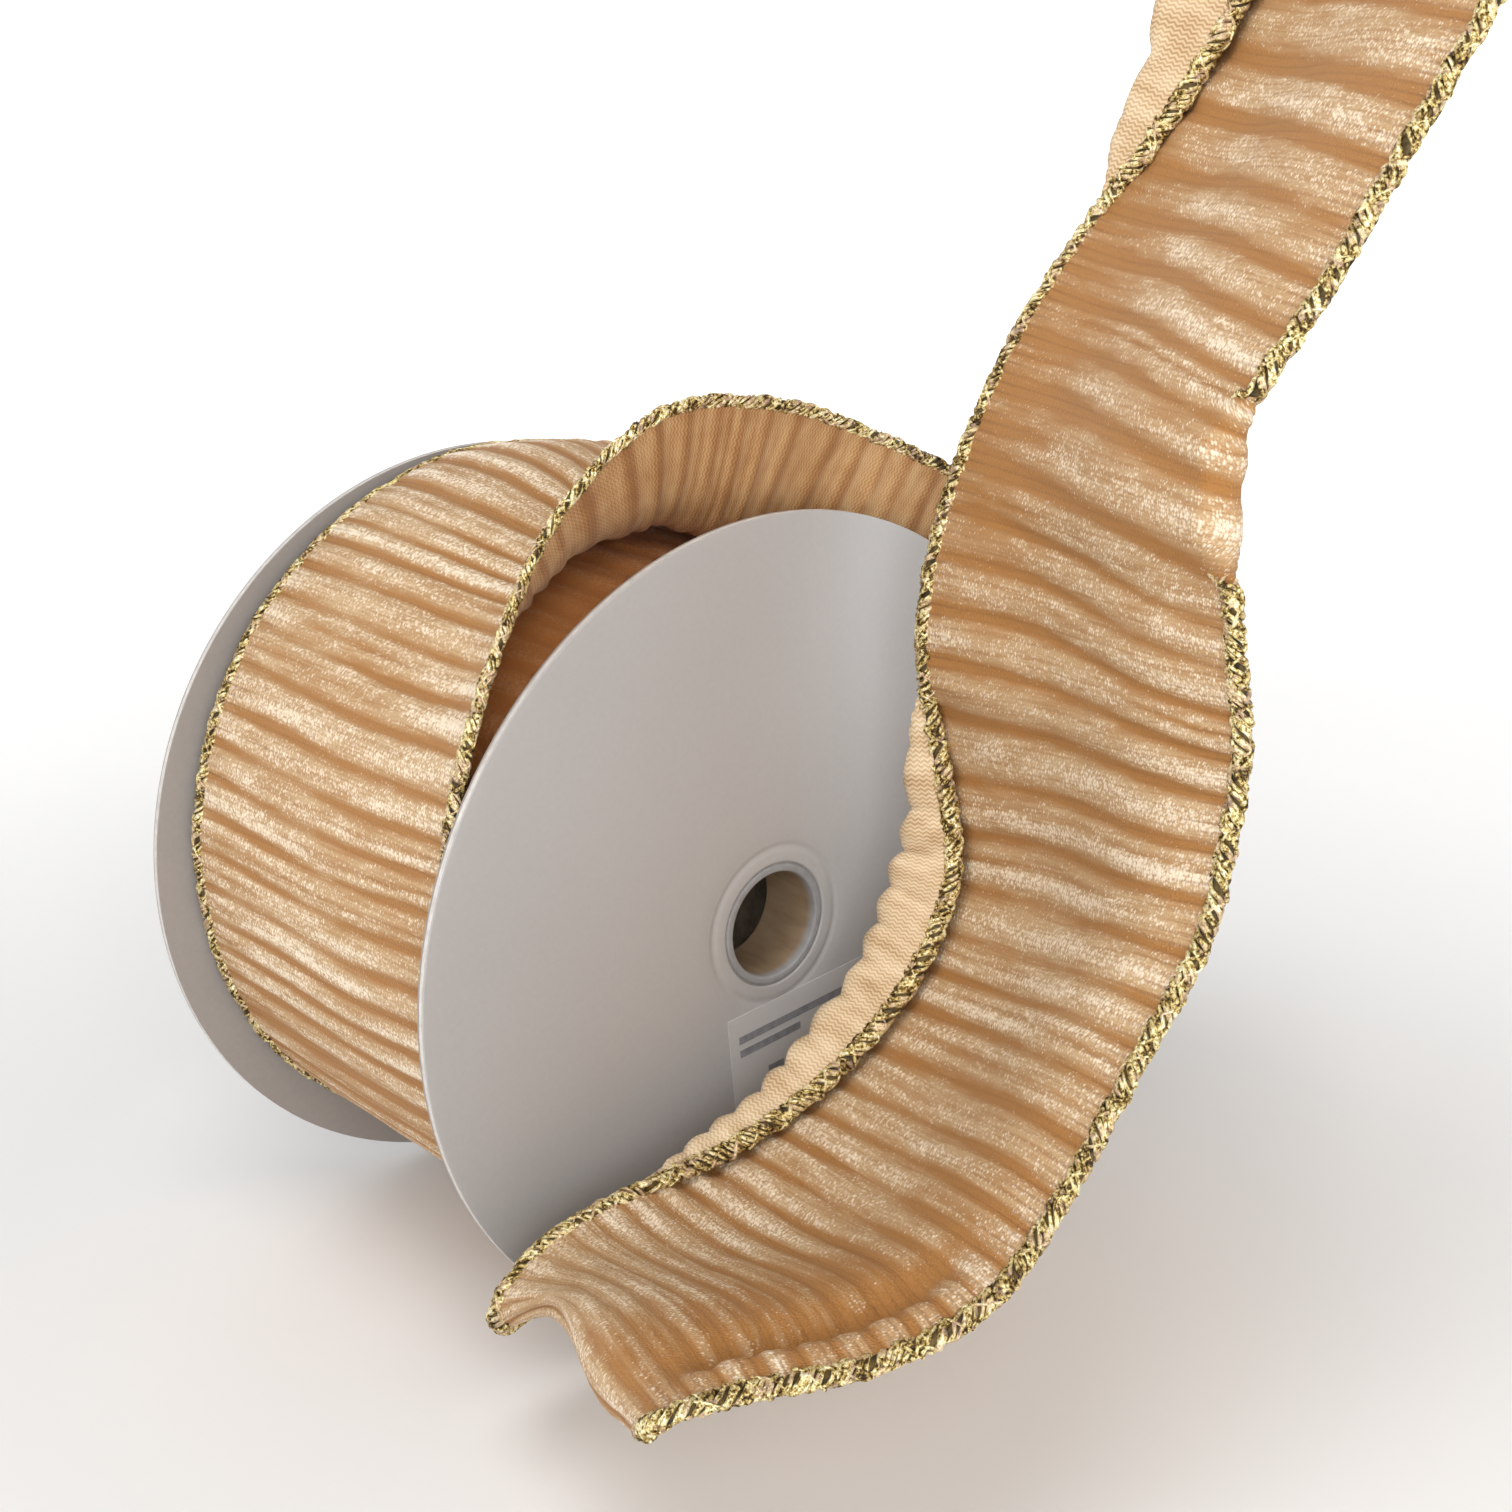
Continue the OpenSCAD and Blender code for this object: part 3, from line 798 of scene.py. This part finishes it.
def paper_material(name, base, dark, scale=160, rough=0.62):
    k = Nodes(name)
    pos = k.coords("Object", (1, 1, 1))
    broad = k.noise(pos, 14, 3.0, 0.55)
    fleck = k.noise(pos, scale * 8, 2.0, 0.6)
    k.color(k.ramp(k.math("MULTIPLY_ADD", fleck, 0.35, k.math("MULTIPLY", broad, 0.65)), [(0.30, dark), (0.70, base)]))
    k.rough(rough)
    k.value("Specular IOR Level", 0.35)
    k.bump(fleck, 0.10, 0.00008)
    return k.m


def board_material():
    k = Nodes("grey_board")
    pos = k.coords("Object", (1, 1, 1))
    fibre = k.noise(pos, 700, 3.0, 0.65)
    ply = k.noise(k.coords("Object", (60, 5200, 60)), 1.0, 2.0, 0.5)
    k.color(k.ramp(k.math("MULTIPLY_ADD", fibre, 0.5, k.math("MULTIPLY", ply, 0.5)),
                   [(0.30, srgb(176, 170, 164)), (0.70, srgb(226, 220, 214))]))
    k.rough(0.85)
    k.bump(fibre, 0.4, 0.0001)
    return k.m


def tube_material():
    """Raw board tube: grey at its cut lip, browner inside."""
    k = Nodes("hub_board")
    pos = k.coords("Object", (1, 1, 1))
    xyz = k.add("ShaderNodeSeparateXYZ")
    k.link(pos, xyz.inputs[0])
    end = k.ramp(k.math("MULTIPLY", k.math("ABSOLUTE", xyz.outputs[1]), 25.0), [(0.795, (0, 0, 0)), (0.825, (1, 1, 1))])
    fibre = k.noise(k.coords("Object", (700, 160, 700)), 1.0, 3.0, 0.5)
    wall = k.ramp(fibre, [(0.30, srgb(132, 110, 86)), (0.70, srgb(152, 130, 104))])
    lip = k.ramp(fibre, [(0.30, srgb(138, 138, 138)), (0.70, srgb(152, 152, 153))])
    k.color(k.mix(end, wall, lip))
    k.rough(0.72)
    k.value("Specular IOR Level", 0.3)
    k.bump(fibre, 0.3, 0.0001)
    return k.m


def plain_material(name, c0, c1, scale, rough, metallic=0.0, distance=0.0001, strength=0.3):
    k = Nodes(name)
    n = k.noise(k.coords("Object", (1, 1, 1)), scale, 3.0, 0.6)
    k.color(k.ramp(n, [(0.32, c0), (0.68, c1)]))
    k.rough(rough)
    k.value("Metallic", metallic)
    k.bump(n, strength, distance)
    return k.m


VELVET, BACK, GOLD, CORE = velvet_material(), back_material(), gold_material(), core_material()
FACE = paper_material("facing_paper", srgb(176, 174, 173), srgb(168, 165, 164))
INNER = paper_material("inner_paper", srgb(160, 154, 150), srgb(150, 144, 140))
BOARD = board_material()
HUB = tube_material()
DRUM = plain_material("core_board", srgb(120, 104, 86), srgb(158, 142, 120), 500, 0.85)
GLUE = plain_material("dried_glue", srgb(214, 190, 140), srgb(236, 220, 180), 300, 0.35)
TAPE = plain_material("tape", srgb(226, 218, 196), srgb(240, 234, 216), 260, 0.4)
LABEL = paper_material("label_paper", srgb(192, 190, 189), srgb(186, 184, 183), 200, 0.5)
PRINT = plain_material("label_bars", srgb(120, 120, 124), srgb(142, 142, 146), 900, 0.6)
WIRE = plain_material("edge_wire", srgb(120, 120, 124), srgb(168, 168, 172), 1500, 0.35, 1.0)

# -------------------------------------------------------------- the ribbon
CLOTH = [VELVET, BACK]
THREAD = [CORE, GOLD]

wound, _ = thin_sheet("wound_turn", -30.5, 0, 0.5, 44, CLOTH)
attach(wound, "spool")

loose, _ = thin_sheet("loose_turn_cloth", 0, 12, 0.42, 70, CLOTH)
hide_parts("loose_turn")
loop, _ = thin_sheet("front_loop_cloth", 12, 24, 0.42, 70, CLOTH)
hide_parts("front_loop")
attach(loop, "free_ribbon")
tail, _ = thin_sheet("free_tail_cloth", 24, LAST, 0.42, 76, CLOTH)
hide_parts("free_tail")
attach(tail, "free_ribbon")

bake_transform(loose)
for e, side in ((0, "rear"), (1, "front")):
    g = gold_edge(f"wound_edge_{side}", e, -30.4, 0, THREAD)
    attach(g, "spool")
    g = gold_edge(f"loose_edge_{side}", e, 0, 12, THREAD)
    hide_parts(f"free_trim_{side}")
    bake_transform(g)
    g = gold_edge(f"free_edge_{side}", e, 12, LAST, THREAD)
    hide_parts(f"free_trim_{side}")
    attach(g, "free_ribbon")
    w = wire_piece(f"loose_wire_{side}", e, 0, 12, WIRE)
    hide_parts(f"free_wire_{side}")
    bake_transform(w)
    w = wire_piece(f"tail_wire_{side}", e, 12, LAST, WIRE, 1.6)
    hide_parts(f"free_wire_{side}")
    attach(w, "free_ribbon")

# The turns under the outer one: a layered body and the stacked gold edges at its ends.
lo, hi = 20.4, 46.4
turns = 18
step = (hi - lo) / turns
prof = [(lo, -30.0)]
for k in range(turns):
    r = lo + k * step
    prof += [(r + 0.10, -30.4), (r + step - 0.18, -30.4), (r + step, -30.0)]
for k in range(turns - 1, -1, -1):
    r = lo + k * step
    prof += [(r + step, 30.0), (r + step - 0.18, 30.4), (r + 0.10, 30.4)]
prof += [(lo, 30.0)]
body = lathe("wound_body", prof, [BACK], 192)
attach(body, "spool")
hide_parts("ribbon_roll")
for side, sign in (("rear", 1), ("front", -1)):
    prof = [(lo, sign * 30.45), (lo, sign * 31.0)]
    for k in range(turns):
        c = lo + (k + 0.5) * step
        prof += [(c + step * 0.46 * math.cos(a), sign * (31.0 + 0.7 * math.sin(a))) for a in (math.pi * j / 6 for j in range(6, -1, -1))]
    prof += [(hi, sign * 31.0), (hi, sign * 30.45)]
    st = lathe(f"stacked_edges_{side}", prof, [GOLD], 192, 60)
    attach(st, "spool")
    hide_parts(f"roll_trim_{side}")

# ------------------------------------------------------------- the spool
for side, sign in (("front", -1), ("rear", 1)):
    y_out, y_in = 33.5, 32.3
    # the printed-side paper: a pressed ring round the hub and soft edges
    prof = [(55.0, y_out - 0.2), (55.0, y_out - 0.10)] + arc(54.88, y_out - 0.12, 0.12, 12, 90, 4)
    prof += [(54.0, y_out)]
    prof += [(x, y_out) for x in (40, 25, 14, 11.6)]
    prof += [(11.3, y_out - 0.05), (11.0, y_out - 0.17), (10.75, y_out - 0.19), (10.45, y_out - 0.12), (10.2, y_out - 0.04), (9.9, y_out)]
    prof += [(9.0, y_out)] + arc(8.78, y_out - 0.16, 0.16, 90, 180, 4) + [(8.6, y_out - 0.2)]
    face = lathe(f"{side}_face_paper", [(r, sign * y) for r, y in prof], [FACE], 384, 60)
    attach(face, "spool")
    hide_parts(f"{side}_outer_facing")
    # the board between the papers, its rim a little rounded
    prof = [(8.6, y_out - 0.2), (54.9, y_out - 0.2)] + arc(54.85, y_out - 0.35, 0.15, 60, 0, 3) + arc(54.85, y_in + 0.35, 0.15, 0, -60, 3) + [(54.9, y_in + 0.2), (8.6, y_in + 0.2)]
    board = lathe(f"{side}_board", [(r, sign * y) for r, y in prof], [BOARD], 384, 60)
    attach(board, "spool")
    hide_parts(f"{side}_flange_board")
    # the tube end that lines the hole, with its rounded lip and the collar behind
    prof = arc(8.05, y_out - 0.32, 0.32, 0, 90, 5) + arc(7.55, y_out - 0.30, 0.30, 90, 180, 5)
    prof += [(7.25, 28.0), (7.25, 23.8)] + arc(7.5, 23.75, 0.25, 180, 270, 4) + arc(8.35, 23.75, 0.25, 270, 360, 4)
    prof += [(8.6, 31.3), (10.9, 31.3), (11.0, 31.4), (11.0, 32.3), (8.6, 32.3), (8.6, y_out - 0.25), (8.37, y_out - 0.25)]
    bush = lathe(f"{side}_bush_tube", [(r, sign * y) for r, y in prof], [HUB], 256, 40)
    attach(bush, "spool")
    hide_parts(f"{side}_hub_bush")


def paint(node, mat):
    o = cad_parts[node]
    o.data.materials.clear()
    o.data.materials.append(mat)


for node, mat in (("front_inner_facing", INNER), ("rear_inner_facing", INNER), ("core_drum", DRUM),
                  ("front_glue_ring", GLUE), ("rear_glue_ring", GLUE), ("start_tape", TAPE),
                  ("label", LABEL), ("roll_wire_front", WIRE), ("roll_wire_rear", WIRE)):
    paint(node, mat)

# Generic bars on the label, with no lettering.
tilt = math.radians(6)
origin = np.array([-8.4, -33.62, -11.6])
ux, uz = np.array([math.cos(tilt), 0, math.sin(tilt)]), np.array([-math.sin(tilt), 0, math.cos(tilt)])
parts = []
for x0, x1, z0, z1 in ((1.6, 20.5, -3.0, -4.1), (1.6, 12.4, -5.0, -6.1), (6.2, 9.0, -9.2, -12.6), (10.0, 12.8, -9.2, -12.6), (6.2, 20.0, -15.0, -15.9)):
    c = [origin + ux * x + uz * z for x, z in ((x0, z1), (x1, z1), (x1, z0), (x0, z0))]
    v = np.array([p + [0, 0.01, 0] for p in c] + [p - [0, 0.03, 0] for p in c])
    parts.append((v, np.array([[0, 3, 2, 1], [4, 5, 6, 7], [0, 1, 5, 4], [1, 2, 6, 5], [2, 3, 7, 6], [3, 0, 4, 7]]), 0))
v, f, _ = join_parts(parts)
bars = new_object("label_bars", v, f[:, ::-1], [PRINT], smooth_faces=False)
bm = bmesh.new()
bm.from_mesh(bars.data)
bmesh.ops.recalc_face_normals(bm, faces=bm.faces)
bm.to_mesh(bars.data)
bm.free()
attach(bars, "spool")

# ------------------------------------------------------- floor, light, camera
n = 64
a = 2 * np.pi * np.arange(n) / n
ring = np.stack([9100 * np.cos(a), 9100 * np.sin(a), np.full(n, -55.05)], -1)
me = bpy.data.meshes.new("floor")
me.from_pydata([tuple(p * 0.001) for p in ring], [], [list(range(n))])
floor = bpy.data.objects.new("floor", me)
bpy.context.scene.collection.objects.link(floor)
k = Nodes("floor_white")
k.color(k.ramp(k.noise(k.coords("Object", (1, 1, 1)), 3.0, 2.0, 0.5), [(0.3, (0.79, 0.79, 0.79)), (0.7, (0.81, 0.81, 0.81))]))
k.rough(0.9)
k.value("Specular IOR Level", 0.1)
k.value("Emission Color", (1, 1, 1, 1))
# painted light: the floor glows, faintly near the spool, which reads as a soft painted shadow there, and more strongly
# further out
far = k.add("ShaderNodeVectorMath", operation="LENGTH")
k.link(k.coords("Object", (1, 1, 1)), far.inputs[0])
k.link(k.ramp(k.math("MULTIPLY", far.outputs["Value"], 0.5), [(0.055, (0.08, 0.08, 0.08)), (0.13, (0.32, 0.32, 0.32)), (0.40, (0.80, 0.80, 0.80))]), k.bsdf.inputs["Emission Strength"])
me.materials.append(k.m)
lift = np.stack([9000 * np.cos(a), 9000 * np.sin(a), np.full(n, -60.0)], -1)
wall = new_object("backdrop", np.concatenate([lift, lift + [0, 0, 3600]]),
                  np.array([[(i + 1) % n, i, i + n, (i + 1) % n + n] for i in range(n)]), smooth_faces=False)
k = Nodes("backdrop_white")
k.color((0.8, 0.8, 0.8))
k.rough(0.9)
k.value("Emission Color", (1, 1, 1, 1))
k.value("Emission Strength", 0.86)
wall.data.materials.append(k.m)

world = bpy.data.worlds.new("studio")
world.use_nodes = True
world.node_tree.nodes["Background"].inputs["Color"].default_value = (1.0, 0.995, 0.985, 1)
world.node_tree.nodes["Background"].inputs["Strength"].default_value = 0.26
bpy.context.scene.world = world


def area(name, loc, size, power, target=(0, 0, 0), color=(1, 1, 1)):
    d = bpy.data.lights.new(name, "AREA")
    d.energy, d.size, d.color = power, size, color
    o = bpy.data.objects.new(name, d)
    o.location = loc
    v = np.array(target, float) - np.array(loc, float)
    from mathutils import Vector
    o.rotation_euler = Vector(v).to_track_quat("-Z", "Y").to_euler()
    bpy.context.scene.collection.objects.link(o)
    return o


area("key", (-0.30, -0.20, 0.80), 0.45, 3.2, (0, -0.04, 0.02), (1.0, 0.985, 0.96))
area("front", (-0.42, -0.62, 0.34), 0.35, 2.2, (0, -0.04, 0.02), (1.0, 0.99, 0.98))
area("fill", (0.55, -0.75, 0.45), 0.7, 0.3, (0, -0.05, 0.03))
area("back", (0.2, 0.7, 0.6), 0.6, 0.8, (0, 0, 0.0))

cam = bpy.data.cameras.new("camera")
cam.sensor_fit, cam.sensor_width, cam.lens = "HORIZONTAL", 36.0, 52.74
cam.clip_start, cam.clip_end = 0.01, 100.0
co = bpy.data.objects.new("camera", cam)
az, el = math.radians(-41.4), math.radians(18.07)
right = np.array([math.cos(az), math.sin(az), 0.0])
look = np.array([-math.sin(az) * math.cos(el), math.cos(az) * math.cos(el), -math.sin(el)])
up = np.cross(right, look)
m = np.eye(4)
m[:3, 0], m[:3, 1], m[:3, 2], m[:3, 3] = right, up, -look, (-0.1813, -0.2353, 0.1119)
co.matrix_world = Matrix(m.tolist())
bpy.context.scene.collection.objects.link(co)
bpy.context.scene.camera = co
bpy.context.scene.view_settings.view_transform = "Standard"
